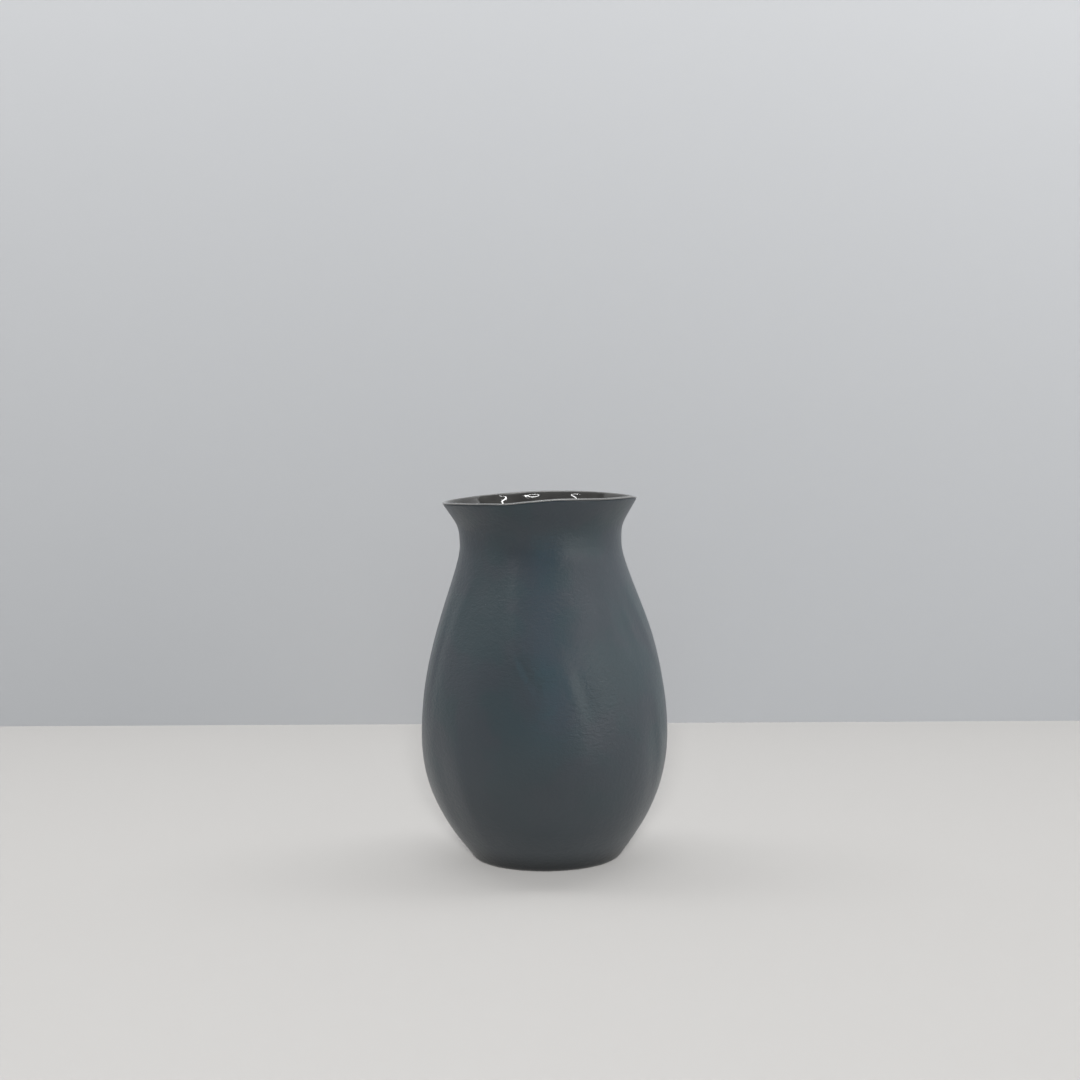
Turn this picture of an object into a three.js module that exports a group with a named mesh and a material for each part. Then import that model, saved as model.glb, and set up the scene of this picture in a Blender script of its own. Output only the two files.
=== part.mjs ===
// A hand-formed aluminium vase. Its wall is one thin shell, flared at the lip and turned in below as
// a foot. A base plate closes it, welded in from underneath. A glossy enamel coat lines the inside
// and rolls over the lip, and a felt pad is glued into the recess under the foot.
//
// Every piece is first turned as a true solid of revolution. One forming function then moves the
// vertices of all pieces alike, as the maker's hands did: it presses dents into the wall, squeezes
// the foot, waves the lip and lets the body lean, so neighbours keep the gaps they were turned with.
//
// Millimetres, +Z up. The front faces -Y, and a bearing turns from the front towards +X.
// The origin is on the floor, under the middle of the foot.

import * as THREE from 'three';

// Driving dimensions

// The outside of the wall, from the foot up.
const FOOT_RADIUS = 47.0;     // where the wall would meet the foot's underside in a sharp corner
const FOOT_BEND = 5;          // radius inside the bend that takes that corner's place
const FOOT_ANGLE = 54.5;      // how steeply the wall leaves the foot, in degrees from level
const BELLY_RADIUS = 78.8;
const BELLY_HEIGHT = 81.8;
const NECK_RADIUS = 51.4;
const NECK_HEIGHT = 203;
const LIP_RADIUS = 61.3;
const LIP_HEIGHT = 229.8;
const LIP_ANGLE = 58.5;       // how steeply the flare ends, in degrees from level

// How full each stretch of that outline is: the lengths of its two tangents, as shares of its rise.
const LOWER_FULLNESS = [0.33, 0.46];
const UPPER_FULLNESS = [0.48, 0.15];
const FLARE_FULLNESS = [0.46, 0.65];

// Thicknesses.
const WALL = 2.2;             // wall and turned-in foot
const LIP_WALL = 1.5;         // the same wall, drawn thinner where it flares
const ENAMEL = 0.6;
const PLATE = 3;

// The underside.
const FOOT_BORE = 39;         // radius of the hole that the turned-in foot leaves
const PLATE_BEVEL = 0.3;      // how far inside the bend the plate's bevel starts
const WELD_LEG = 1.6;         // how far the weld runs along the plate and down the bore
const PAD_SETBACK = 1;        // from the weld's toe to the pad's edge
const PAD_PROUD = 0.5;        // how far the pad holds the foot off the floor
const PAD_EDGE = 0.5;         // bevel round the pad's worn lower edge

// The enamel.
const FLOOR_FILLET = 9;       // radius where it runs from the floor into the wall
const WRAP_ANGLE = 60;        // how far past the crest of the lip it reaches, in degrees

// The gap between curved faces that lie side by side. Level faces touch.
const SLIP = 0.3;

// The lean: how far the lip stands off the foot towards -X, and how far the middle bows back.
const LEAN = 2.8;
const BOW = 0.8;

// The squeeze: the share of its depth that the foot has lost from front to back, and the height at
// which the body is round again.
const FOOT_SQUEEZE = 0.055;
const SQUEEZE_HEIGHT = 30;

// The wave of the lip: each term lifts it at a bearing, and falls and rises so many turns round.
const LIP_WAVES = [
  { turns: 1, bearing: 89, lift: 1.6 },
  { turns: 2, bearing: 9, lift: 1.0 },
  { turns: 3, bearing: 41, lift: 0.25 },
];
const LIP_WAVE_START = 185;   // height below which the wave has died out

// The tucks: bearings where thumb and finger pinched the lip a little up or down, and how wide.
const LIP_TUCKS = [
  { bearing: -57, width: 12, lift: 0.3 },
  { bearing: -20, width: 9, lift: -0.55 },
  { bearing: 9, width: 11, lift: 0.45 },
  { bearing: 40, width: 12, lift: -0.35 },
  { bearing: 70, width: 10, lift: 0.4 },
];

// The dents: where the middle of each is, its half-width across and half-height along, how far it
// is turned clockwise as seen from outside, and how deep it goes. A ridge has a depth below zero.
const DENTS = [
  { bearing: -55, height: 60, across: 10, along: 34, turn: -6, depth: 0.8 },
  { bearing: -41, height: 60, across: 6.5, along: 32, turn: -6, depth: -0.5 },
  { bearing: -38, height: 170, across: 14, along: 34, turn: 6, depth: 0.6 },
  { bearing: -18, height: 170, across: 8, along: 32, turn: -5, depth: -0.45 },
  { bearing: -13, height: 112, across: 15, along: 20, turn: 0, depth: 1.0 },
  { bearing: 21, height: 112, across: 9, along: 26, turn: -14, depth: 0.6 },
  { bearing: 56, height: 152, across: 14, along: 28, turn: -12, depth: 1.0 },
  { bearing: 62, height: 74, across: 12, along: 34, turn: -6, depth: 0.8 },
  { bearing: -82, height: 146, across: 16, along: 30, turn: 0, depth: 0.4 },
  { bearing: -88, height: 52, across: 18, along: 28, turn: 0, depth: -0.7 },
  { bearing: -92, height: 208, across: 28, along: 15, turn: 0, depth: -0.45 },
  { bearing: -84, height: 5, across: 18, along: 8, turn: 0, depth: 1.3 },
  { bearing: 86, height: 146, across: 18, along: 22, turn: 0, depth: -0.7 },
  { bearing: 88, height: 52, across: 20, along: 24, turn: 0, depth: 0.3 },
  { bearing: 112, height: 96, across: 18, along: 34, turn: 10, depth: 1.5 },
  { bearing: 158, height: 70, across: 18, along: 28, turn: -12, depth: 1.4 },
  { bearing: 172, height: 142, across: 16, along: 28, turn: 14, depth: 1.3 },
  { bearing: -140, height: 104, across: 17, along: 32, turn: -8, depth: 1.5 },
  { bearing: -114, height: 62, across: 15, along: 28, turn: 12, depth: 1.2 },
];
const STIFF_RADIUS = 20;      // nearer the axis than this, in the floor, a dent's push fades out

// How finely the curves are cut.
const AROUND = 56;
const LOWER_STEPS = 8;
const UPPER_STEPS = 12;
const FLARE_STEPS = 5;
const EDGE_STEPS = 4;

// Turned outlines, as points of (radius, height)

const radians = THREE.MathUtils.degToRad;
const smooth = THREE.MathUtils.smoothstep;
const point = (radius, height) => new THREE.Vector2(radius, height);
const direction = (degrees) => point(Math.cos(radians(degrees)), Math.sin(radians(degrees)));

// Both ends of the arc are among its points.
function arc(centre, radius, fromDegrees, toDegrees) {
  const turned = (i) => fromDegrees + ((toDegrees - fromDegrees) * i) / EDGE_STEPS;
  const at = (_, i) => direction(turned(i)).multiplyScalar(radius).add(centre);
  return Array.from({ length: EDGE_STEPS + 1 }, at);
}

// The foot's underside stands off the floor by what the pad is proud, and the plate lies on its top.
const FOOT_UNDERSIDE = PAD_PROUD;
const FOOT_TOPSIDE = FOOT_UNDERSIDE + WALL;
const PLATE_TOPSIDE = FOOT_TOPSIDE + PLATE;
const FOOT_ROUNDING = FOOT_BEND + WALL;
const FOOT_FLAT = FOOT_RADIUS - FOOT_ROUNDING * Math.tan(radians(FOOT_ANGLE / 2));
const BEND_CENTRE = point(FOOT_FLAT, FOOT_UNDERSIDE + FOOT_ROUNDING);
const WALL_FACING = FOOT_ANGLE - 90;
const LIP_FACING = LIP_ANGLE - 90;

// Stations along the wall's outer face, from the foot's bend to the lip, with what points outwards.
function wallStations() {
  const foot = direction(WALL_FACING).multiplyScalar(FOOT_ROUNDING).add(BEND_CENTRE);
  const belly = point(BELLY_RADIUS, BELLY_HEIGHT);
  const neck = point(NECK_RADIUS, NECK_HEIGHT);
  const lip = point(LIP_RADIUS, LIP_HEIGHT);
  const up = direction(90);
  const stretches = [
    [foot, direction(FOOT_ANGLE), belly, up, LOWER_FULLNESS, LOWER_STEPS],
    [belly, up, neck, up, UPPER_FULLNESS, UPPER_STEPS],
    [neck, up, lip, direction(LIP_ANGLE), FLARE_FULLNESS, FLARE_STEPS],
  ];
  const stations = [];
  for (const [from, leaving, to, arriving, fullness, steps] of stretches) {
    const rise = to.y - from.y;
    const leave = from.clone().addScaledVector(leaving, fullness[0] * rise);
    const arrive = to.clone().addScaledVector(arriving, -fullness[1] * rise);
    const curve = new THREE.CubicBezierCurve(from, leave, arrive, to);
    for (let i = stations.length ? 1 : 0; i <= steps; i += 1) {
      const along = curve.getTangent(i / steps);
      stations.push({ at: curve.getPoint(i / steps), outward: point(along.y, -along.x) });
    }
  }
  return stations;
}

const STATIONS = wallStations();
const OUTSIDE = STATIONS.map(({ at }) => at);
const LIP_CENTRE = OUTSIDE.at(-1).clone().addScaledVector(direction(LIP_FACING), -LIP_WALL / 2);

// The wall's inner face, moved further inwards.
function insideWall(further) {
  return STATIONS.map(({ at, outward }) => {
    const thickness = WALL + (LIP_WALL - WALL) * smooth(at.y, NECK_HEIGHT, LIP_HEIGHT);
    return at.clone().addScaledVector(outward, -thickness - further);
  });
}

// The same face with the foot's bend below it.
function insideFace(further) {
  const bend = arc(BEND_CENTRE, FOOT_BEND - further, -90, WALL_FACING);
  return [...bend, ...insideWall(further).slice(1)];
}

// Where a line that is read upwards passes a height: the last point below it, and the share beyond.
function placeAtHeight(line, height) {
  const above = line.findIndex((p) => p.y > height);
  const below = line[above - 1];
  return above - 1 + (height - below.y) / (line[above].y - below.y);
}

function pointAtPlace(line, place) {
  return line[Math.floor(place)].clone().lerp(line[Math.ceil(place)], place % 1);
}

function wallOutline() {
  return [
    point(FOOT_BORE, FOOT_UNDERSIDE),
    ...arc(BEND_CENTRE, FOOT_ROUNDING, -90, WALL_FACING),
    ...OUTSIDE.slice(1),
    ...arc(LIP_CENTRE, LIP_WALL / 2, LIP_FACING, LIP_FACING + 180).slice(1),
    ...insideFace(0).slice(0, -1).reverse(),
    point(FOOT_BORE, FOOT_TOPSIDE),
    point(FOOT_BORE, FOOT_UNDERSIDE),
  ];
}

// The plate lies on the turned-in foot, bevelled to clear its bend and tapered as the wall is.
function plateOutline() {
  const edge = insideFace(SLIP);
  const top = placeAtHeight(edge, PLATE_TOPSIDE);
  return [
    point(0, FOOT_TOPSIDE),
    point(FOOT_FLAT - PLATE_BEVEL, FOOT_TOPSIDE),
    pointAtPlace(edge, Math.min(EDGE_STEPS, top)),
    pointAtPlace(edge, top),
    point(0, PLATE_TOPSIDE),
  ];
}

// A round bead in the corner between the plate and the foot's bore.
function weldOutline() {
  const corner = point(FOOT_BORE - SLIP, FOOT_TOPSIDE);
  return [corner, ...arc(corner, WELD_LEG, 180, 270), corner];
}

function padOutline() {
  const radius = FOOT_BORE - SLIP - WELD_LEG - PAD_SETBACK;
  return [
    point(0, 0),
    point(radius - PAD_EDGE, 0),
    point(radius, PAD_EDGE),
    point(radius, FOOT_TOPSIDE),
    point(0, FOOT_TOPSIDE),
  ];
}

// The enamel covers the plate, fillets into the wall, follows it up and rolls over the lip.
function enamelOutline() {
  const floor = PLATE_TOPSIDE + ENAMEL;
  const back = insideFace(SLIP);
  const face = insideWall(SLIP + ENAMEL);
  const seat = placeAtHeight(back, PLATE_TOPSIDE);
  const filletCentres = insideWall(SLIP + ENAMEL + FLOOR_FILLET);
  const filletEnd = placeAtHeight(filletCentres, floor + FLOOR_FILLET);
  const filletCentre = pointAtPlace(filletCentres, filletEnd);
  const filletFacing = pointAtPlace(face, filletEnd).sub(filletCentre).angle();
  const wrapFrom = LIP_FACING + 180;
  const wrapTo = 90 - WRAP_ANGLE;
  return [
    point(0, PLATE_TOPSIDE),
    pointAtPlace(back, seat),
    ...back.slice(Math.ceil(seat), -1),
    ...arc(LIP_CENTRE, LIP_WALL / 2 + SLIP, wrapFrom, wrapTo),
    ...arc(LIP_CENTRE, LIP_WALL / 2 + SLIP + ENAMEL, wrapTo, wrapFrom),
    ...face.slice(Math.ceil(filletEnd), -1).reverse(),
    ...arc(filletCentre, FLOOR_FILLET, THREE.MathUtils.radToDeg(filletFacing) - 360, -90),
    point(0, floor),
  ];
}

// Forming by hand

const degreesBetween = (a, b) => THREE.MathUtils.euclideanModulo(a - b + 180, 360) - 180;

// The wall's radius at a height, before forming.
const radiusAt = (height) => pointAtPlace(OUTSIDE, placeAtHeight(OUTSIDE, height)).x;

function dentDepth(bearing, height) {
  let depth = 0;
  for (const dent of DENTS) {
    const sideways = radians(degreesBetween(bearing, dent.bearing)) * radiusAt(dent.height);
    const fromMiddle = point(sideways, height - dent.height);
    fromMiddle.rotateAround(point(0, 0), radians(dent.turn));
    depth += dent.depth * Math.exp(-((fromMiddle.x / dent.across) ** 2) - (fromMiddle.y / dent.along) ** 2);
  }
  return depth;
}

function lipLift(bearing, height) {
  const share = Math.max(0, (height - LIP_WAVE_START) / (LIP_HEIGHT - LIP_WAVE_START));
  const waves = LIP_WAVES.map((w) => w.lift * Math.cos(w.turns * radians(bearing - w.bearing)));
  const widthsFrom = (t) => degreesBetween(bearing, t.bearing) / t.width;
  const tucks = LIP_TUCKS.map((t) => t.lift * Math.exp(-(widthsFrom(t) ** 2)));
  return share ** 2 * [...waves, ...tucks].reduce((sum, lift) => sum + lift, 0);
}

// Moves every turned vertex to where the maker's hands left it.
function formByHand(positions) {
  const vertex = new THREE.Vector3();
  for (let i = 0; i < positions.count; i += 1) {
    vertex.fromBufferAttribute(positions, i);
    const height = vertex.z;
    const share = height / LIP_HEIGHT;
    const radius = Math.hypot(vertex.x, vertex.y);
    if (radius > 0) {
      const bearing = THREE.MathUtils.radToDeg(Math.atan2(vertex.x, -vertex.y));
      const pressed = 1 - dentDepth(bearing, height) / Math.max(radius, STIFF_RADIUS);
      vertex.x *= pressed;
      vertex.y *= pressed;
      vertex.z += lipLift(bearing, height);
    }
    vertex.y *= 1 - FOOT_SQUEEZE * (1 - smooth(height, 0, SQUEEZE_HEIGHT));
    vertex.x += 4 * BOW * share * (1 - share) - LEAN * share;
    positions.setXYZ(i, vertex.x, vertex.y, vertex.z);
  }
}

// The pieces

function piece(name, outline, finish) {
  const geometry = new THREE.LatheGeometry(outline, AROUND).rotateX(Math.PI / 2);
  formByHand(geometry.attributes.position);
  geometry.computeVertexNormals();
  const mesh = new THREE.Mesh(geometry, new THREE.MeshStandardMaterial(finish));
  mesh.name = name;
  return mesh;
}

const SLATE_COAT = { color: 0x484e52, roughness: 0.7, metalness: 0.1 };
const WARM_GREY_ENAMEL = { color: 0x8a857d, roughness: 0.15, metalness: 0 };
const BARE_ALUMINIUM = { color: 0xa9adb1, roughness: 0.45, metalness: 1 };
const CHARCOAL_FELT = { color: 0x2b2b2d, roughness: 1, metalness: 0 };

const vase = new THREE.Group();
vase.name = 'aluminium_vase';
vase.add(
  piece('outer_wall', wallOutline(), SLATE_COAT),
  piece('base_plate', plateOutline(), BARE_ALUMINIUM),
  piece('weld_bead', weldOutline(), BARE_ALUMINIUM),
  piece('enamel_lining', enamelOutline(), WARM_GREY_ENAMEL),
  piece('felt_pad', padOutline(), CHARCOAL_FELT),
);

export default vase;
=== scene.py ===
# %% [markdown]
# # A hand-formed aluminium vase
#
# The vase is a thin aluminium wall with a rounded belly, a waist below the mouth and a flared lip.
# Outside it wears a matte slate coat, inside a glossy warm grey enamel that rolls over the lip.
# A base plate closes it, welded in from underneath, and a felt pad keeps it off the table.
#
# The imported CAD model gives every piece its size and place. This script dresses it: it repeats the
# rules that shape the wall, at a finer step, and gives every surface its finish.

# %% Load the frame
import math

import bmesh
import bpy
import numpy as np
from mathutils import Matrix, Vector


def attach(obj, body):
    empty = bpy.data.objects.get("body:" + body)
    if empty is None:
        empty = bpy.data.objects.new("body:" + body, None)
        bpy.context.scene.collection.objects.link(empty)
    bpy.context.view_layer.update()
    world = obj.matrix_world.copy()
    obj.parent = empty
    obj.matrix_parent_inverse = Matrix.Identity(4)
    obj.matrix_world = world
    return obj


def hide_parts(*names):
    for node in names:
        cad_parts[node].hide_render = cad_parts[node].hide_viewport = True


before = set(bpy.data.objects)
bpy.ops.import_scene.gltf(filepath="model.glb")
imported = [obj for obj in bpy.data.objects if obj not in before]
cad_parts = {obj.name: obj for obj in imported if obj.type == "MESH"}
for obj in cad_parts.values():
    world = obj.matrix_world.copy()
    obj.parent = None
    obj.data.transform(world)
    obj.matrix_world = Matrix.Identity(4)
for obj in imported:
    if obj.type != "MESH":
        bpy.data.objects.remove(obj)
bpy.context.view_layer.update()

MM = 0.001
print("CAD nodes:", ", ".join(sorted(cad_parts)))

# %% [markdown]
# ## The camera
#
# The photograph was taken from a little above the mouth, about a metre away. The two ellipses of
# the lip and the foot tell how far: the nearer the camera, the rounder the lower one looks next to
# the upper. Its frame is square, and the horizon leans by a third of a degree.

# %% The camera
CAMERA_DISTANCE = 1105.8   # mm from the vase's axis
CAMERA_HEIGHT = 287.6      # mm above the table
CAMERA_SIDE = -2.7         # mm to the left of the axis
CAMERA_PITCH = 4.30        # degrees downwards
CAMERA_ROLL = -0.3         # degrees, clockwise being negative
CAMERA_LENS = 57.9         # mm, on a sensor 36 mm wide

camera = bpy.data.objects.new("photo_camera", bpy.data.cameras.new("photo_camera"))
camera.data.sensor_width = 36
camera.data.lens = CAMERA_LENS
camera.data.clip_start = 0.01
camera.location = (CAMERA_SIDE * MM, -CAMERA_DISTANCE * MM, CAMERA_HEIGHT * MM)
aim = Matrix.Rotation(math.radians(90 - CAMERA_PITCH), 4, "X")
camera.rotation_euler = (aim @ Matrix.Rotation(math.radians(CAMERA_ROLL), 4, "Z")).to_euler()
bpy.context.scene.collection.objects.link(camera)
bpy.context.scene.camera = camera
bpy.context.scene.view_settings.view_transform = "Standard"
print("camera at", tuple(round(c, 3) for c in camera.location), "lens", CAMERA_LENS)

# %% [markdown]
# ## Driving sizes
#
# These are the sizes the CAD model was made from. They are written again here because the wall is
# turned a second time with more facets than the CAD model has, and must come out in the same place.

# %% Driving sizes, in mm and degrees
FOOT_RADIUS = 47.0
FOOT_BEND = 5
FOOT_ANGLE = 54.5
BELLY_RADIUS = 78.8
BELLY_HEIGHT = 81.8
NECK_RADIUS = 51.4
NECK_HEIGHT = 203
LIP_RADIUS = 61.3
LIP_HEIGHT = 229.8
LIP_ANGLE = 58.5
LOWER_FULLNESS = (0.33, 0.46)
UPPER_FULLNESS = (0.48, 0.15)
FLARE_FULLNESS = (0.46, 0.65)
WALL = 2.2
LIP_WALL = 1.5
ENAMEL = 0.6
PLATE = 3
FOOT_BORE = 39
WELD_LEG = 1.6
PAD_SETBACK = 1
PAD_PROUD = 0.5
PAD_EDGE = 0.5
FLOOR_FILLET = 9
WRAP_ANGLE = 60
SLIP = 0.3

FOOT_UNDERSIDE = PAD_PROUD
FOOT_TOPSIDE = FOOT_UNDERSIDE + WALL
PLATE_TOPSIDE = FOOT_TOPSIDE + PLATE
FOOT_ROUNDING = FOOT_BEND + WALL
FOOT_FLAT = FOOT_RADIUS - FOOT_ROUNDING * math.tan(math.radians(FOOT_ANGLE / 2))
print("foot stands on its pad at", FOOT_UNDERSIDE, "mm, floor of the vase at", PLATE_TOPSIDE + ENAMEL, "mm")

# %% [markdown]
# ## The outline of the wall
#
# A vase like this can be raised from a disc, spun on a lathe or cast. Whichever way, its section is
# one smooth line. Here it is three curves, foot to belly, belly to neck and neck to lip, whose ends
# share a direction so that no crease shows. Each point keeps the direction that faces outwards,
# because the inner face and the enamel are the same line moved inwards.

# %% The outline of the wall
LOWER_STEPS = 62
UPPER_STEPS = 88
FLARE_STEPS = 26
EDGE_STEPS = 10


def heading(degrees):
    return np.array([math.cos(math.radians(degrees)), math.sin(math.radians(degrees))])


def arc(centre, radius, start, stop):
    return [centre + radius * heading(a) for a in np.linspace(start, stop, EDGE_STEPS + 1)]


def stretch(start, leaving, stop, arriving, fullness, steps):
    """Points and outward directions of one curve, without its first point."""
    rise = stop[1] - start[1]
    leave = start + leaving * fullness[0] * rise
    arrive = stop - arriving * fullness[1] * rise
    t = np.linspace(0, 1, steps + 1)[1:, None]
    s = 1 - t
    points = s**3 * start + 3 * s**2 * t * leave + 3 * s * t**2 * arrive + t**3 * stop
    along = s**2 * (leave - start) + 2 * s * t * (arrive - leave) + t**2 * (stop - arrive)
    along /= np.linalg.norm(along, axis=1)[:, None]
    return points, np.stack([along[:, 1], -along[:, 0]], 1)


bend_centre = np.array([FOOT_FLAT, FOOT_UNDERSIDE + FOOT_ROUNDING])
wall_facing = heading(FOOT_ANGLE - 90)
foot = bend_centre + FOOT_ROUNDING * wall_facing
belly = np.array([BELLY_RADIUS, BELLY_HEIGHT])
neck = np.array([NECK_RADIUS, NECK_HEIGHT])
lip = np.array([LIP_RADIUS, LIP_HEIGHT])
up = heading(90)
curves = [
    stretch(foot, heading(FOOT_ANGLE), belly, up, LOWER_FULLNESS, LOWER_STEPS),
    stretch(belly, up, neck, up, UPPER_FULLNESS, UPPER_STEPS),
    stretch(neck, up, lip, heading(LIP_ANGLE), FLARE_FULLNESS, FLARE_STEPS),
]
outside = np.vstack([foot[None]] + [points for points, _ in curves])
outward = np.vstack([wall_facing[None]] + [facing for _, facing in curves])
lip_centre = outside[-1] - outward[-1] * LIP_WALL / 2
print("the outline has", len(outside), "points and rises to", round(outside[-1, 1], 1), "mm")


# %% The faces inside it
def smooth(value, low, high):
    t = np.clip((value - low) / (high - low), 0, 1)
    return t * t * (3 - 2 * t)


def inside_wall(further):
    """The wall's inner face, moved further inwards."""
    thickness = WALL + (LIP_WALL - WALL) * smooth(outside[:, 1], NECK_HEIGHT, LIP_HEIGHT)
    return outside - outward * (thickness + further)[:, None]


def inside_face(further):
    """The same face with the foot's bend below it."""
    return np.vstack([arc(bend_centre, FOOT_BEND - further, -90, FOOT_ANGLE - 90), inside_wall(further)[1:]])


def place_at_height(line, height):
    above = int(np.argmax(line[:, 1] > height))
    below = line[above - 1]
    return above - 1 + (height - below[1]) / (line[above, 1] - below[1])


def point_at_place(line, place):
    low = int(place)
    return line[low] + (line[low + 1] - line[low]) * (place - low)


def radius_at(height):
    return point_at_place(outside, place_at_height(outside, height))[0]


# %% [markdown]
# ## The closed outlines
#
# Each turned piece is a closed loop in section: up its outer face, round its edge and back down its
# inner face. Faces that nobody sees take every fourth point only. The skin is a number carried by
# every point of a loop, one where the coat's hand-worked grain shows and nought elsewhere. On the
# enamel it marks the lip's crest instead, where a pale band is painted as a highlight.

# %% The closed outlines
HIDDEN_STEP = 4


def thinned(line):
    return line[::HIDDEN_STEP]


def wall_outline():
    loop = [np.array([[FOOT_BORE, FOOT_UNDERSIDE]])]
    loop.append(arc(bend_centre, FOOT_ROUNDING, -90, FOOT_ANGLE - 90))
    loop.append(outside[1:])
    loop.append(arc(lip_centre, LIP_WALL / 2, LIP_ANGLE - 90, LIP_ANGLE + 90)[1:])
    loop.append(thinned(inside_face(0)[:-1][::-1]))
    loop.append(np.array([[FOOT_FLAT, FOOT_TOPSIDE], [FOOT_BORE, FOOT_TOPSIDE]]))
    points = np.vstack(loop)
    seen = np.arange(len(points)) < len(outside) + EDGE_STEPS
    skin = seen * smooth(points[:, 1], 6, 20) * (1 - 0.6 * smooth(points[:, 1], LIP_HEIGHT - 12, LIP_HEIGHT))
    return points, skin


def enamel_outline():
    floor = PLATE_TOPSIDE + ENAMEL
    back = inside_face(SLIP)
    face = inside_wall(SLIP + ENAMEL)
    seat = place_at_height(back, PLATE_TOPSIDE)
    fillet_centres = inside_wall(SLIP + ENAMEL + FLOOR_FILLET)
    fillet_end = place_at_height(fillet_centres, floor + FLOOR_FILLET)
    fillet_centre = point_at_place(fillet_centres, fillet_end)
    reach = point_at_place(face, fillet_end) - fillet_centre
    fillet_facing = math.degrees(math.atan2(reach[1], reach[0]))
    floor_radii = np.linspace(fillet_centre[0], 0, 14)[1:]
    loop = [np.array([[0, PLATE_TOPSIDE], point_at_place(back, seat)])]
    loop.append(thinned(back[math.ceil(seat):-1]))
    loop.append(arc(lip_centre, LIP_WALL / 2 + SLIP, LIP_ANGLE + 90, 90 - WRAP_ANGLE))
    loop.append(arc(lip_centre, LIP_WALL / 2 + SLIP + ENAMEL, 90 - WRAP_ANGLE, LIP_ANGLE + 90))
    loop.append(face[math.ceil(fillet_end):-1][::-1])
    loop.append(arc(fillet_centre, FLOOR_FILLET, fillet_facing, -90))
    loop.append(np.stack([floor_radii, np.full(len(floor_radii), floor)], 1))
    points = np.vstack(loop)
    # The lip's crest carries a painted highlight: these points get the pale colour in the enamel.
    near_lip = 1 - smooth(np.linalg.norm(points - lip_centre, axis=1), LIP_WALL, 2 * LIP_WALL)
    return points, near_lip * smooth(points[:, 0] - lip_centre[0], -1.6, -0.6)


def weld_outline():
    corner = np.array([FOOT_BORE - SLIP, FOOT_TOPSIDE])
    points = np.vstack([corner[None], arc(corner, WELD_LEG, 180, 270)])
    return points, np.r_[0, np.ones(len(points) - 1)]


def pad_outline():
    radius = FOOT_BORE - SLIP - WELD_LEG - PAD_SETBACK
    radii = np.linspace(0, radius - PAD_EDGE, 40)
    loop = [np.stack([radii, np.zeros(40)], 1), np.array([[radius, PAD_EDGE]])]
    loop.append(np.array([[radius, h] for h in np.linspace(PAD_EDGE, FOOT_TOPSIDE, 6)[1:]]))
    loop.append(np.array([[0, FOOT_TOPSIDE]]))
    points = np.vstack(loop)
    return points, np.zeros(len(points))


print("wall outline", len(wall_outline()[0]), "points, enamel", len(enamel_outline()[0]), "points")

# %% [markdown]
# ## Writing node trees as sums
#
# A node tree is a drawing of a formula. These helpers let the script write it as one: a sum takes
# numbers and sockets alike, puts down one node and hands back its output.


# %% Small helpers for node trees
class Sums:
    """Puts down maths nodes in a tree."""

    def __init__(self, tree):
        self.tree = tree

    def node(self, kind, **settings):
        new = self.tree.nodes.new(kind)
        for name, value in settings.items():
            setattr(new, name, value)
        return new

    def feed(self, socket, value):
        if isinstance(value, bpy.types.NodeSocket):
            self.tree.links.new(value, socket)
        else:
            socket.default_value = value

    def sum(self, operation, *values):
        new = self.node("ShaderNodeMath", operation=operation)
        for socket, value in zip(new.inputs, values):
            self.feed(socket, value)
        return new.outputs[0]

    def eased(self, value, low, high):
        """Rises smoothly from 0 at low to 1 at high."""
        new = self.node("ShaderNodeMapRange", interpolation_type="SMOOTHSTEP")
        for name, given in (("Value", value), ("From Min", low), ("From Max", high)):
            self.feed(new.inputs[name], given)
        return new.outputs[0]

    def split(self, vector):
        new = self.node("ShaderNodeSeparateXYZ")
        self.feed(new.inputs[0], vector)
        return new.outputs

    def joined(self, x, y, z):
        new = self.node("ShaderNodeCombineXYZ")
        for socket, value in zip(new.inputs, (x, y, z)):
            self.feed(socket, value)
        return new.outputs[0]

    def position(self):
        return self.node("GeometryNodeInputPosition").outputs[0]

    def moved(self, geometry, offset=None, position=None):
        new = self.node("GeometryNodeSetPosition")
        self.feed(new.inputs["Geometry"], geometry)
        if offset is not None:
            self.feed(new.inputs["Offset"], offset)
        if position is not None:
            self.feed(new.inputs["Position"], position)
        return new.outputs[0]

    def noise(self, where, size, detail=2.0, rough=0.5, kind="FBM"):
        """Uneven spots of about this size in mm, from 0 to 1."""
        new = self.node("ShaderNodeTexNoise", noise_type=kind)
        self.feed(new.inputs["Vector"], where)
        for name, value in (("Scale", 1 / (size * MM)), ("Detail", detail), ("Roughness", rough)):
            new.inputs[name].default_value = value
        return new.outputs["Fac"]

    def blended(self, share, low, high):
        """One colour where share is 0, the other where it is 1."""
        new = self.node("ShaderNodeMix", data_type="RGBA")
        self.feed(new.inputs[0], share)
        for socket, colour in ((new.inputs[6], low), (new.inputs[7], high)):
            self.feed(socket, (*colour, 1) if isinstance(colour, tuple) else colour)
        return new.outputs[2]

    def bumped(self, height, depth):
        """A normal from a height between 0 and 1, depth in mm."""
        new = self.node("ShaderNodeBump")
        new.inputs["Distance"].default_value = depth * MM
        self.feed(new.inputs["Height"], height)
        return new.outputs["Normal"]

    def bearing(self, x, y):
        """How far a point lies round from the front, in radians."""
        return self.sum("ARCTAN2", x, self.sum("MULTIPLY", y, -1.0))


def new_tree(name, inputs):
    """A geometry tree with a geometry input and output, and the named inputs between them."""
    tree = bpy.data.node_groups.new(name, "GeometryNodeTree")
    tree.interface.new_socket("Geometry", in_out="INPUT", socket_type="NodeSocketGeometry")
    for label, kind, value in inputs:
        socket = tree.interface.new_socket(label, in_out="INPUT", socket_type="NodeSocket" + kind)
        if value is not None:
            socket.default_value = value
    tree.interface.new_socket("Geometry", in_out="OUTPUT", socket_type="NodeSocketGeometry")
    sums = Sums(tree)
    return tree, sums, sums.node("NodeGroupInput").outputs, sums.node("NodeGroupOutput").inputs


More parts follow.
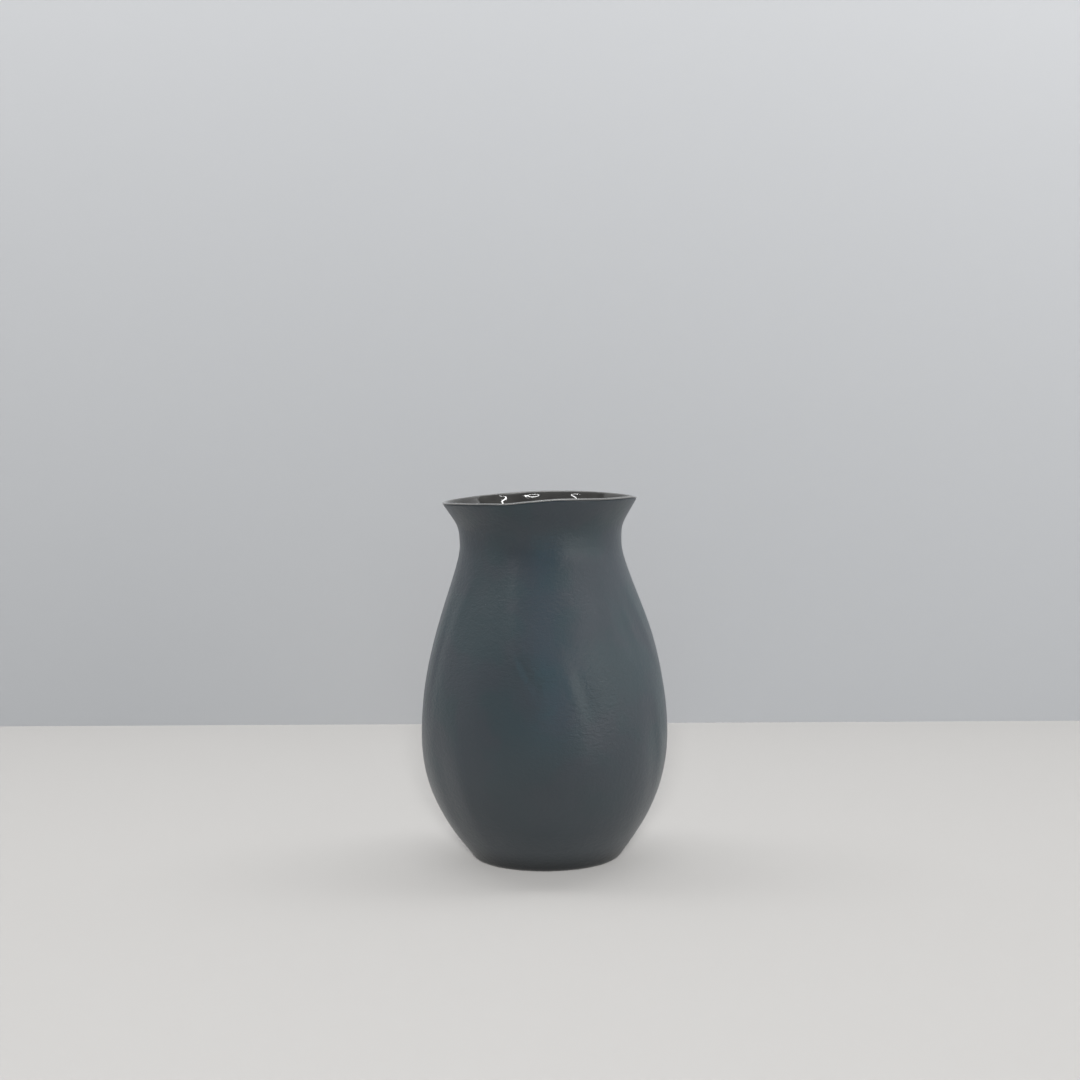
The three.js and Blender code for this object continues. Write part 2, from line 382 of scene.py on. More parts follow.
# %% [markdown]
# ## Turning
#
# A lathe sweeps the tool's outline round an axis. The tree does the same with a flat grid: across
# the grid runs the bearing, up it run the outline's points, and every vertex is put where its
# outline point would be at that bearing. The seam and the points on the axis then merge.


# %% The turning tree
def turning_tree():
    tree, s, given, out = new_tree("turn_outline", [("Around", "Int", 360)])
    counted = s.node("GeometryNodeAttributeDomainSize")
    s.feed(counted.inputs[0], given["Geometry"])
    points = counted.outputs["Point Count"]
    grid = s.node("GeometryNodeMeshGrid")
    s.feed(grid.inputs["Vertices X"], s.sum("ADD", given["Around"], 1))
    s.feed(grid.inputs["Vertices Y"], s.sum("ADD", points, 1))
    across, upwards, _ = s.split(s.position())
    angle = s.sum("MULTIPLY", s.sum("ADD", across, 0.5), 2 * math.pi)
    row = s.sum("ROUND", s.sum("MULTIPLY", s.sum("ADD", upwards, 0.5), points))
    row = s.sum("MODULO", row, points)

    def of_outline(value, data_type):
        sample = s.node("GeometryNodeSampleIndex", data_type=data_type)
        s.feed(sample.inputs["Geometry"], given["Geometry"])
        s.feed(sample.inputs["Value"], value)
        s.feed(sample.inputs["Index"], row)
        return sample.outputs["Value"]

    radius, _, height = s.split(of_outline(s.position(), "FLOAT_VECTOR"))
    skin = s.node("GeometryNodeInputNamedAttribute", data_type="FLOAT")
    skin.inputs["Name"].default_value = "skin"
    skinned = s.node("GeometryNodeStoreNamedAttribute", data_type="FLOAT", domain="POINT")
    skinned.inputs["Name"].default_value = "skin"
    s.feed(skinned.inputs["Geometry"], grid.outputs["Mesh"])
    s.feed(skinned.inputs["Value"], of_outline(skin.outputs[0], "FLOAT"))
    x = s.sum("MULTIPLY", radius, s.sum("SINE", angle))
    y = s.sum("MULTIPLY", radius, s.sum("MULTIPLY", s.sum("COSINE", angle), -1.0))
    turned = s.moved(skinned.outputs[0], position=s.joined(x, y, height))
    merged = s.node("GeometryNodeMergeByDistance")
    merged.inputs["Distance"].default_value = 1e-6
    s.feed(merged.inputs["Geometry"], turned)
    s.feed(out[0], merged.outputs[0])
    return tree


TURN = turning_tree()
print("turning tree:", len(TURN.nodes), "nodes")

# %% [markdown]
# ## Pressing a dent
#
# The maker's palm and thumbs left wide, shallow hollows. Each is a smooth bell: deepest in the
# middle, gone a hand's width away, longer one way than the other and turned to lie as the hand lay.
# A negative depth raises a ridge instead, as a pinch between two fingers does. Near the axis, where
# the floor is, the push fades out.


# %% The dent tree
STIFF_RADIUS = 20


def dent_tree():
    sizes = ("Bearing", "Height", "Across", "Along", "Turn", "Depth", "Girth")
    tree, s, given, out = new_tree("press_dent", [(name, "Float", 0.0) for name in sizes])
    x, y, height = s.split(s.position())
    radius = s.sum("SQRT", s.sum("ADD", s.sum("MULTIPLY", x, x), s.sum("MULTIPLY", y, y)))
    between = s.sum("SUBTRACT", s.bearing(x, y), given["Bearing"])
    between = s.sum("WRAP", between, math.pi, -math.pi)
    sideways = s.sum("MULTIPLY", between, given["Girth"])
    above = s.sum("SUBTRACT", height, given["Height"])
    cosine = s.sum("COSINE", given["Turn"])
    sine = s.sum("SINE", given["Turn"])
    across = s.sum("SUBTRACT", s.sum("MULTIPLY", sideways, cosine), s.sum("MULTIPLY", above, sine))
    along = s.sum("ADD", s.sum("MULTIPLY", sideways, sine), s.sum("MULTIPLY", above, cosine))
    across = s.sum("POWER", s.sum("DIVIDE", across, given["Across"]), 2.0)
    along = s.sum("POWER", s.sum("DIVIDE", along, given["Along"]), 2.0)
    bell = s.sum("EXPONENT", s.sum("MULTIPLY", s.sum("ADD", across, along), -1.0))
    depth = s.sum("MULTIPLY", bell, given["Depth"])
    inwards = s.sum("DIVIDE", s.sum("MULTIPLY", depth, -1.0), s.sum("MAXIMUM", radius, STIFF_RADIUS * MM))
    offset = s.joined(s.sum("MULTIPLY", x, inwards), s.sum("MULTIPLY", y, inwards), 0.0)
    s.feed(out[0], s.moved(given["Geometry"], offset=offset))
    return tree


DENT = dent_tree()
print("dent tree:", len(DENT.nodes), "nodes")

# %% The dents, in degrees and mm
DENTS = [
    dict(bearing=-55, height=60, across=10, along=34, turn=-6, depth=0.8),
    dict(bearing=-41, height=60, across=6.5, along=32, turn=-6, depth=-0.5),
    dict(bearing=-38, height=170, across=14, along=34, turn=6, depth=0.6),
    dict(bearing=-18, height=170, across=8, along=32, turn=-5, depth=-0.45),
    dict(bearing=-13, height=112, across=15, along=20, turn=0, depth=1.0),
    dict(bearing=21, height=112, across=9, along=26, turn=-14, depth=0.6),
    dict(bearing=56, height=152, across=14, along=28, turn=-12, depth=1.0),
    dict(bearing=62, height=74, across=12, along=34, turn=-6, depth=0.8),
    dict(bearing=-82, height=146, across=16, along=30, turn=0, depth=0.4),
    dict(bearing=-88, height=52, across=18, along=28, turn=0, depth=-0.7),
    dict(bearing=-92, height=208, across=28, along=15, turn=0, depth=-0.45),
    dict(bearing=-84, height=5, across=18, along=8, turn=0, depth=1.3),
    dict(bearing=86, height=146, across=18, along=22, turn=0, depth=-0.7),
    dict(bearing=88, height=52, across=20, along=24, turn=0, depth=0.3),
    dict(bearing=112, height=96, across=18, along=34, turn=10, depth=1.5),
    dict(bearing=158, height=70, across=18, along=28, turn=-12, depth=1.4),
    dict(bearing=172, height=142, across=16, along=28, turn=14, depth=1.3),
    dict(bearing=-140, height=104, across=17, along=32, turn=-8, depth=1.5),
    dict(bearing=-114, height=62, across=15, along=28, turn=12, depth=1.2),
]
CREASES = [
    dict(bearing=19, height=115, across=3.2, along=16, turn=-14, depth=0.32),
    dict(bearing=24, height=104, across=2.0, along=12, turn=-10, depth=0.18),
    dict(bearing=21, height=90, across=2.2, along=9, turn=4, depth=0.2),
    dict(bearing=-9, height=130, across=2.2, along=11, turn=-29, depth=0.42),
    dict(bearing=-3, height=122, across=1.8, along=6, turn=20, depth=0.28),
    dict(bearing=55, height=156, across=3.5, along=13, turn=-12, depth=-0.4),
    dict(bearing=48, height=152, across=6, along=18, turn=-12, depth=0.3),
    dict(bearing=-52, height=170, across=4, along=16, turn=12, depth=-0.3),
    dict(bearing=-74, height=140, across=5, along=34, turn=4, depth=-0.4),
    dict(bearing=-64, height=140, across=6, along=34, turn=4, depth=0.35),
    dict(bearing=-1, height=138, across=12, along=16, turn=0, depth=-0.5),
    dict(bearing=14, height=116, across=4, along=15, turn=-16, depth=-0.3),
    dict(bearing=-13, height=133, across=2.0, along=10, turn=-30, depth=-0.25),
    dict(bearing=70, height=150, across=4, along=22, turn=-14, depth=-0.35),
    dict(bearing=66, height=82, across=6, along=26, turn=-8, depth=-0.6),
    dict(bearing=-69, height=132, across=4, along=26, turn=4, depth=-0.35),
    dict(bearing=-11, height=104, across=12, along=12, turn=0, depth=0.25),
]
print(len(DENTS), "dents, the deepest", max(d["depth"] for d in DENTS), "mm")

# %% [markdown]
# ## The wave and the lean
#
# No hand-worked lip is level. Its height rises and falls in slow waves round the mouth, which die
# out at the neck, and the whole body leans a little. The foot was pressed a little flatter from front
# to back when its edge was turned in, and the squeeze fades out over the first 30 mm. All three rules
# move a point by where it was turned to, so the wall and the pieces inside it move together.

# %% The lip's wave and the lean
LEAN = 2.8
BOW = 0.8
FOOT_SQUEEZE = 0.055        # share of its depth that the foot has lost from front to back
SQUEEZE_HEIGHT = 30
LIP_WAVES = ((1, 89, 1.6), (2, 9, 1.0), (3, 41, 0.25))   # turns round, bearing of the crest, lift
LIP_WAVE_START = 185
LIP_TUCKS = ((-57, 12, 0.3), (-20, 9, -0.55), (9, 11, 0.45), (40, 12, -0.35), (70, 10, 0.4))   # bearing, width, lift


def lip_lift(s, bearing, height):
    rise = (LIP_HEIGHT - LIP_WAVE_START) * MM
    share = s.sum("MAXIMUM", s.sum("DIVIDE", s.sum("SUBTRACT", height, LIP_WAVE_START * MM), rise), 0.0)
    total = 0.0
    for turns, crest, lift in LIP_WAVES:
        angle = s.sum("MULTIPLY", s.sum("SUBTRACT", bearing, math.radians(crest)), float(turns))
        total = s.sum("ADD", total, s.sum("MULTIPLY", s.sum("COSINE", angle), lift * MM))
    for middle, width, lift in LIP_TUCKS:
        away = s.sum("DIVIDE", s.sum("SUBTRACT", bearing, math.radians(middle)), math.radians(width))
        bell = s.sum("EXPONENT", s.sum("MULTIPLY", s.sum("MULTIPLY", away, away), -1.0))
        total = s.sum("ADD", total, s.sum("MULTIPLY", bell, lift * MM))
    return s.sum("MULTIPLY", total, s.sum("MULTIPLY", share, share))


def lean_offset(s, height, lean, bow):
    share = s.sum("DIVIDE", height, LIP_HEIGHT * MM)
    bowed = s.sum("MULTIPLY", s.sum("MULTIPLY", share, s.sum("SUBTRACT", 1.0, share)), bow)
    return s.sum("SUBTRACT", s.sum("MULTIPLY", bowed, 4.0), s.sum("MULTIPLY", share, lean))


# %% [markdown]
# ## The whole forming rule
#
# One tree does all of it: turn the outline, press every dent, roughen the skin with the slow
# unevenness that hammering and casting leave, wave the lip, and let the body lean.


# %% The ripples of a weld
def rippled(s, shape, ripples, share):
    """Draws the skinned points of a weld towards its corner between one ripple and the next."""
    x, y, height = s.split(s.position())
    radius = s.sum("MAXIMUM", s.sum("SQRT", s.sum("ADD", s.sum("MULTIPLY", x, x), s.sum("MULTIPLY", y, y))), 1e-6)
    skin = s.node("GeometryNodeInputNamedAttribute", data_type="FLOAT")
    skin.inputs["Name"].default_value = "skin"
    wave = s.sum("SINE", s.sum("MULTIPLY", s.bearing(x, y), s.sum("MULTIPLY", ripples, 0.5)))
    draw = s.sum("MULTIPLY", s.sum("SUBTRACT", 1.0, s.sum("ABSOLUTE", wave)), share)
    draw = s.sum("MULTIPLY", draw, skin.outputs[0])
    outwards = s.sum("DIVIDE", s.sum("SUBTRACT", (FOOT_BORE - SLIP) * MM, radius), radius)
    outwards = s.sum("MULTIPLY", outwards, draw)
    upwards = s.sum("MULTIPLY", s.sum("SUBTRACT", FOOT_TOPSIDE * MM, height), draw)
    return s.moved(shape, offset=s.joined(s.sum("MULTIPLY", x, outwards), s.sum("MULTIPLY", y, outwards), upwards))


# %% The forming tree
def forming_tree(name):
    tree, s, given, out = new_tree(name, [
        ("Around", "Int", 360),
        ("Lean", "Float", LEAN * MM),
        ("Bow", "Float", BOW * MM),
        ("Grain size", "Float", 7 * MM),
        ("Grain depth", "Float", 0.0),
        ("Ripples", "Float", 0.0),
        ("Ripple share", "Float", 0.0),
        ("Finish", "Material", None),
    ])
    turned = s.node("GeometryNodeGroup", node_tree=TURN)
    s.feed(turned.inputs["Geometry"], given["Geometry"])
    s.feed(turned.inputs["Around"], given["Around"])
    shape = rippled(s, turned.outputs[0], given["Ripples"], given["Ripple share"])
    for dent in DENTS + CREASES:
        press = s.node("GeometryNodeGroup", node_tree=DENT)
        s.feed(press.inputs["Geometry"], shape)
        for label in ("Bearing", "Turn"):
            press.inputs[label].default_value = math.radians(dent[label.lower()])
        for label in ("Height", "Across", "Along", "Depth"):
            press.inputs[label].default_value = dent[label.lower()] * MM
        press.inputs["Girth"].default_value = radius_at(dent["height"]) * MM
        shape = press.outputs[0]
    grain = s.node("ShaderNodeTexNoise", noise_dimensions="3D")
    grain.inputs["Detail"].default_value = 2.0
    s.feed(grain.inputs["Vector"], s.position())
    s.feed(grain.inputs["Scale"], s.sum("DIVIDE", 1.0, given["Grain size"]))
    skin = s.node("GeometryNodeInputNamedAttribute", data_type="FLOAT")
    skin.inputs["Name"].default_value = "skin"
    lift = s.sum("MULTIPLY", s.sum("SUBTRACT", grain.outputs[0], 0.5), given["Grain depth"])
    lift = s.sum("MULTIPLY", lift, skin.outputs[0])
    x, y, height = s.split(s.position())
    radius = s.sum("SQRT", s.sum("ADD", s.sum("MULTIPLY", x, x), s.sum("MULTIPLY", y, y)))
    outwards = s.sum("DIVIDE", lift, s.sum("MAXIMUM", radius, 1e-6))
    shape = s.moved(shape, offset=s.joined(s.sum("MULTIPLY", x, outwards), s.sum("MULTIPLY", y, outwards), 0.0))
    sideways = lean_offset(s, height, given["Lean"], given["Bow"])
    upwards = lip_lift(s, s.bearing(x, y), height)
    squeeze = s.sum("MULTIPLY", s.eased(height, SQUEEZE_HEIGHT * MM, 0.0), FOOT_SQUEEZE)
    shape = s.moved(shape, offset=s.joined(sideways, s.sum("MULTIPLY", y, s.sum("MULTIPLY", squeeze, -1.0)), upwards))
    shaded = s.node("GeometryNodeSetShadeSmooth")
    s.feed(shaded.inputs["Geometry"], shape)
    real = s.node("GeometryNodeRealizeInstances")
    s.feed(real.inputs["Geometry"], shaded.outputs[0])
    coated = s.node("GeometryNodeSetMaterial")
    s.feed(coated.inputs["Geometry"], real.outputs[0])
    s.feed(coated.inputs["Material"], given["Finish"])
    s.feed(out[0], coated.outputs[0])
    return tree


FORM = forming_tree("form_by_hand")
print("forming tree:", len(FORM.nodes), "nodes")


# %% Making a piece from an outline
def outline_object(name, points, skin):
    """A closed loop of edges in the XZ plane, radius along X."""
    mesh = bpy.data.meshes.new(name)
    spots = [(r * MM, 0.0, h * MM) for r, h in points]
    edges = [(i, (i + 1) % len(spots)) for i in range(len(spots))]
    mesh.from_pydata(spots, edges, [])
    mesh.attributes.new("skin", "FLOAT", "POINT").data.foreach_set("value", np.asarray(skin, dtype=np.float32))
    obj = bpy.data.objects.new(name, mesh)
    bpy.context.scene.collection.objects.link(obj)
    return obj


def made_real(obj, tree, **values):
    """Runs a tree on an object with its inputs set, and keeps the result as a plain mesh."""
    modifier = obj.modifiers.new(tree.name, "NODES")
    modifier.node_group = tree
    sockets = {item.name: item.identifier for item in tree.interface.items_tree if item.in_out == "INPUT"}
    for name, value in values.items():
        modifier[sockets[name.replace("_", " ")]] = value
    result = bpy.data.meshes.new_from_object(obj.evaluated_get(bpy.context.evaluated_depsgraph_get()))
    obj.modifiers.remove(modifier)
    obj.data = result
    return facing_out(obj)


def facing_out(obj):
    """Turns a closed mesh's faces outwards, and says how large it is."""
    work = bmesh.new()
    work.from_mesh(obj.data)
    if work.calc_volume(signed=True) < 0:
        bmesh.ops.reverse_faces(work, faces=work.faces)
    bmesh.ops.delete(work, geom=[edge for edge in work.edges if edge.is_wire], context="EDGES")
    open_edges = sum(not edge.is_manifold for edge in work.edges)
    volume = work.calc_volume() / MM**3 / 1000
    work.to_mesh(obj.data)
    work.free()
    print(f"{obj.name}: {len(obj.data.polygons)} faces, {open_edges} open edges, {volume:.1f} cm3")
    return obj


# %% [markdown]
# ## Finishes
#
# A finish has three layers of detail: slow changes of colour and gloss that the eye reads as
# handwork, a grain of a millimetre or two, and rare marks. Each material reads Object coordinates,
# so its sizes are real millimetres on the piece.


# %% A blank finish
def blank_finish(name):
    """A material with its sums, its shader and the place on the piece."""
    material = bpy.data.materials.new(name)
    material.use_nodes = True
    s = Sums(material.node_tree)
    return material, s, material.node_tree.nodes["Principled BSDF"], s.node("ShaderNodeTexCoord").outputs["Object"]


# %% [markdown]
# ## The slate coat
#
# Outside, the metal wears a matte coat that is sprayed on and baked. It has the faint orange peel of
# such coats, over a leathery skin: the fine wrinkles that the metal got while it was worked. They
# come in patches, and are deepest round one crease at the front. A few pits are left, each a small
# dark point. Low down the coat is painted paler, as painted light thrown up from the table. Over the
# lowest finger's breadth it is painted nearly black, as painted shade where the foot meets the table.

# %% The slate coat
SLATE = (0.038, 0.052, 0.060)
SLATE_WARM = (0.0415, 0.0508, 0.0605)
SLATE_COOL = (0.0350, 0.0522, 0.0600)
COAT_ROUGHNESS = 0.36
# painted light: the coat's colour low down, paler to stand in for light thrown up from the table
PAINTED_BOUNCE_LIGHT = (0.053, 0.063, 0.070)
BOUNCE_LIGHT_BELOW = 95            # mm up from the table, under which the coat is painted paler as light from the table
# painted shade: nearly black coat colour at the foot, standing in for the shade where it meets the table
PAINTED_CONTACT_SHADE = (0.010, 0.013, 0.015)
FOOT_SHADE = 17            # mm up from the table over which painted shade darkens the coat

CREASED_MIDDLE = (29, 112)  # mm to the right of the axis and up, where the skin is most wrinkled
CREASED_REACH = (11, 30)


def slate_coat():
    material, s, shader, here = blank_finish("slate_coat")
    x, y, height = s.split(here)
    patches = s.eased(s.noise(here, 40, detail=1), 0.36, 0.62)
    worked = s.sum("ADD", 0.35, s.sum("MULTIPLY", s.eased(height, 50 * MM, 110 * MM), 0.65))
    worked = s.sum("MULTIPLY", worked, s.sum("ADD", 0.45, s.sum("MULTIPLY", patches, 0.55)))
    smoother = s.sum("MULTIPLY", s.eased(x, 5 * MM, 25 * MM), s.eased(height, 125 * MM, 150 * MM))
    worked = s.sum("MULTIPLY", worked, s.sum("SUBTRACT", 1.0, s.sum("MULTIPLY", smoother, 0.7)))
    across, along = (
        s.sum("POWER", s.sum("DIVIDE", s.sum("SUBTRACT", place, middle * MM), reach * MM), 2.0)
        for place, middle, reach in zip((x, height), CREASED_MIDDLE, CREASED_REACH)
    )
    creased = s.sum("EXPONENT", s.sum("MULTIPLY", s.sum("ADD", across, along), -1.0))
    creased = s.sum("MULTIPLY", creased, s.sum("LESS_THAN", y, 0.0))
    worked = s.sum("ADD", worked, s.sum("MULTIPLY", creased, 0.9))
    lying = s.node("ShaderNodeMapping")
    lying.inputs["Rotation"].default_value = (0.0, math.radians(-8), 0.0)
    lying.inputs["Scale"].default_value = (1.0, 1.0, 2.2)
    s.feed(lying.inputs["Vector"], here)
    wrinkles = s.noise(lying.outputs[0], 3.2, detail=3, rough=0.6)
    peel = s.noise(here, 2.6, detail=2)
    grain = s.noise(here, 0.8, detail=2)
    cells = s.node("ShaderNodeTexVoronoi")
    cells.inputs["Scale"].default_value = 1 / (13 * MM)
    s.feed(cells.inputs["Vector"], here)
    pits = s.sum("SUBTRACT", 1.0, s.eased(cells.outputs["Distance"], 0.012, 0.030))
    skin = s.sum("MULTIPLY", peel, 0.5)
    skin = s.sum("ADD", skin, s.sum("MULTIPLY", grain, 0.2))
    skin = s.sum("ADD", skin, s.sum("MULTIPLY", s.sum("MULTIPLY", wrinkles, worked), 1.0))
    skin = s.sum("SUBTRACT", skin, s.sum("MULTIPLY", pits, 1.5))
    s.feed(shader.inputs["Normal"], s.bumped(skin, 0.32))
    tone = s.blended(s.eased(s.noise(here, 34, detail=2), 0.42, 0.58), SLATE_COOL, SLATE_WARM)
    tone = s.blended(s.sum("MULTIPLY", s.eased(s.noise(here, 6, detail=3), 0.3, 0.8), 0.5), tone, SLATE)
    # Painted light: below this height the coat is painted paler, standing in for light thrown up from the table.
    tone = s.blended(s.eased(height, 10 * MM, BOUNCE_LIGHT_BELOW * MM), PAINTED_BOUNCE_LIGHT, tone)
    # Painted shade: the coat turns nearly black towards the table, standing in for the shade where the foot meets it.
    tone = s.blended(s.eased(height, 0.0, FOOT_SHADE * MM), PAINTED_CONTACT_SHADE, tone)
    s.feed(shader.inputs["Base Color"], s.blended(s.sum("MULTIPLY", pits, 0.7), tone, (0.012, 0.013, 0.014)))
    rough = s.sum("ADD", COAT_ROUGHNESS - 0.05, s.sum("MULTIPLY", s.noise(here, 18, detail=3), 0.10))
    s.feed(shader.inputs["Roughness"], rough)
    return material


slate = slate_coat()
print("slate coat:", len(slate.node_tree.nodes), "nodes")

# %% [markdown]
# ## The enamel
#
# The inside is poured: a thick, glossy, warm grey enamel is swilled round and drained over the lip.
# Its surface is never quite even. Slow ripples break every highlight up, and thicker places look a
# little darker.

# %% The enamel
ENAMEL_THIN = (0.070, 0.067, 0.062)
ENAMEL_THICK = (0.048, 0.046, 0.043)
# painted highlight: a pale colour on the lip's crest, standing in for its bright reflection
PAINTED_LIP_HIGHLIGHT = (0.20, 0.198, 0.19)


def warm_grey_enamel():
    material, s, shader, here = blank_finish("warm_grey_enamel")
    stretched = s.node("ShaderNodeMapping")
    stretched.inputs["Scale"].default_value = (1.0, 1.0, 0.7)
    s.feed(stretched.inputs["Vector"], here)
    flow = s.noise(stretched.outputs[0], 14, detail=1)
    ripple = s.noise(stretched.outputs[0], 5, detail=1)
    height = s.sum("ADD", flow, s.sum("MULTIPLY", ripple, 0.15))
    s.feed(shader.inputs["Normal"], s.bumped(height, 0.26))
    inside = s.blended(s.eased(flow, 0.35, 0.7), ENAMEL_THIN, ENAMEL_THICK)
    # The skin marks the lip's crest, where a pale colour is painted as a highlight.
    edge = s.node("ShaderNodeAttribute", attribute_name="skin").outputs["Fac"]
    s.feed(shader.inputs["Base Color"], s.blended(edge, inside, PAINTED_LIP_HIGHLIGHT))
    rough = s.sum("ADD", 0.01, s.sum("MULTIPLY", s.noise(here, 3, detail=3), 0.03))
    s.feed(shader.inputs["Roughness"], rough)
    return material


enamel = warm_grey_enamel()
print("enamel:", len(enamel.node_tree.nodes), "nodes")

# %% [markdown]
# ## Bare aluminium
#
# The plate under the foot is left bare. A lathe tool leaves fine rings on it, and beside the weld
# the heat has left the metal duller and faintly straw-coloured.

# %% Bare aluminium
ALUMINIUM = (0.66, 0.67, 0.69)
ALUMINIUM_DULL = (0.50, 0.50, 0.49)
HEAT_TINT = (0.58, 0.53, 0.45)


def bare_aluminium():
    material, s, shader, here = blank_finish("bare_aluminium")
    x, y, _ = s.split(here)
    radius = s.sum("SQRT", s.sum("ADD", s.sum("MULTIPLY", x, x), s.sum("MULTIPLY", y, y)))
    wobble = s.sum("MULTIPLY", s.noise(here, 9, detail=2), 0.6 * MM)
    rings = s.sum("SINE", s.sum("MULTIPLY", s.sum("ADD", radius, wobble), 2 * math.pi / (0.35 * MM)))
    scratches = s.noise(here, 1.4, detail=4)
    height = s.sum("ADD", s.sum("MULTIPLY", rings, 0.4), scratches)
    s.feed(shader.inputs["Normal"], s.bumped(height, 0.03))
    heat = s.eased(radius, (FOOT_BORE - 6) * MM, (FOOT_BORE - 1) * MM)
    heat = s.sum("MULTIPLY", heat, s.noise(here, 7, detail=2))
    metal = s.blended(s.noise(here, 4, detail=4), ALUMINIUM, ALUMINIUM_DULL)
    s.feed(shader.inputs["Base Color"], s.blended(heat, metal, HEAT_TINT))
    shader.inputs["Metallic"].default_value = 1.0
    s.feed(shader.inputs["Roughness"], s.sum("ADD", 0.30, s.sum("MULTIPLY", scratches, 0.25)))
    return material


aluminium = bare_aluminium()
print("bare aluminium:", len(aluminium.node_tree.nodes), "nodes")

# %% [markdown]
# ## Felt
#
# Felt is pressed wool: no weave, only short fibres that lie every way. From near by it is a cloud of
# darker and lighter wisps.

# %% Felt
FELT_DARK = (0.016, 0.016, 0.018)
FELT_LIGHT = (0.060, 0.060, 0.064)


def charcoal_felt():
    material, s, shader, here = blank_finish("charcoal_felt")
    wisps = s.noise(here, 0.7, detail=4, rough=0.7)
    clouds = s.noise(here, 5, detail=3)
    fibres = s.noise(here, 0.25, detail=2, kind="RIDGED_MULTIFRACTAL")
    height = s.sum("ADD", wisps, s.sum("MULTIPLY", fibres, 0.4))
    s.feed(shader.inputs["Normal"], s.bumped(height, 0.35))
    share = s.sum("MULTIPLY", s.sum("ADD", wisps, clouds), 0.5)
    s.feed(shader.inputs["Base Color"], s.blended(s.eased(share, 0.35, 0.68), FELT_DARK, FELT_LIGHT))
    s.feed(shader.inputs["Roughness"], s.sum("ADD", 0.88, s.sum("MULTIPLY", wisps, 0.12)))
    shader.inputs["Sheen Weight"].default_value = 0.3
    shader.inputs["Sheen Roughness"].default_value = 0.5
    return material


felt = charcoal_felt()
print("felt:", len(felt.node_tree.nodes), "nodes")

# %% [markdown]
# ## The wall
#
# The wall takes the whole rule: the outline turned in 360 facets, every dent and crease, a slow
# unevenness of the skin, then the squeeze of the foot, the wave of the lip and the lean.

# %% The wall
wall = made_real(outline_object("formed_wall", *wall_outline()), FORM, Around=360, Grain_depth=0.16 * MM, Finish=slate)

# %% [markdown]
# ## The enamel lining
#
# Enamel has the shape of what it was poured on. So the lining is turned from its own outline and goes
# through the same dents, which keeps it at one distance from the wall all the way down.

# %% The enamel lining
lining = made_real(outline_object("poured_enamel", *enamel_outline()), FORM, Around=300, Finish=enamel)

# %% [markdown]
# ## The weld
#
# A bead of weld is laid in steps, and each step freezes as a small half-moon on the last. Here the
# bead is turned as a plain fillet and then drawn back towards its corner between one ripple and the
# next, so that it never grows past the fillet it was planned as.

# %% The weld
RIPPLE_STEP = 2.2          # mm
ripples = round(2 * math.pi * (FOOT_BORE - SLIP) / RIPPLE_STEP)
bead = made_real(outline_object("weld_ring", *weld_outline()), FORM, Around=ripples * 8, Ripples=float(ripples),
                 Ripple_share=0.3, Finish=aluminium)
print(ripples, "ripples round the foot's bore")

# %% [markdown]
# ## The felt pad
#
# The pad is a disc cut from stiff pressed felt, glued under the plate, so it is no cushion: it stays
# flat. A punch leaves its rim a little frayed. Short fibres are scattered over the rim only, each a
# thin closed spike. Those that would reach below the table are bent flat above it, as the vase's
# weight does.

# %% The fibre tree
PRESSED_BELOW = 0.25       # mm above the table, under which a fibre is bent flat
PRESSED_SHARE = 0.15       # of its height that is left to it there


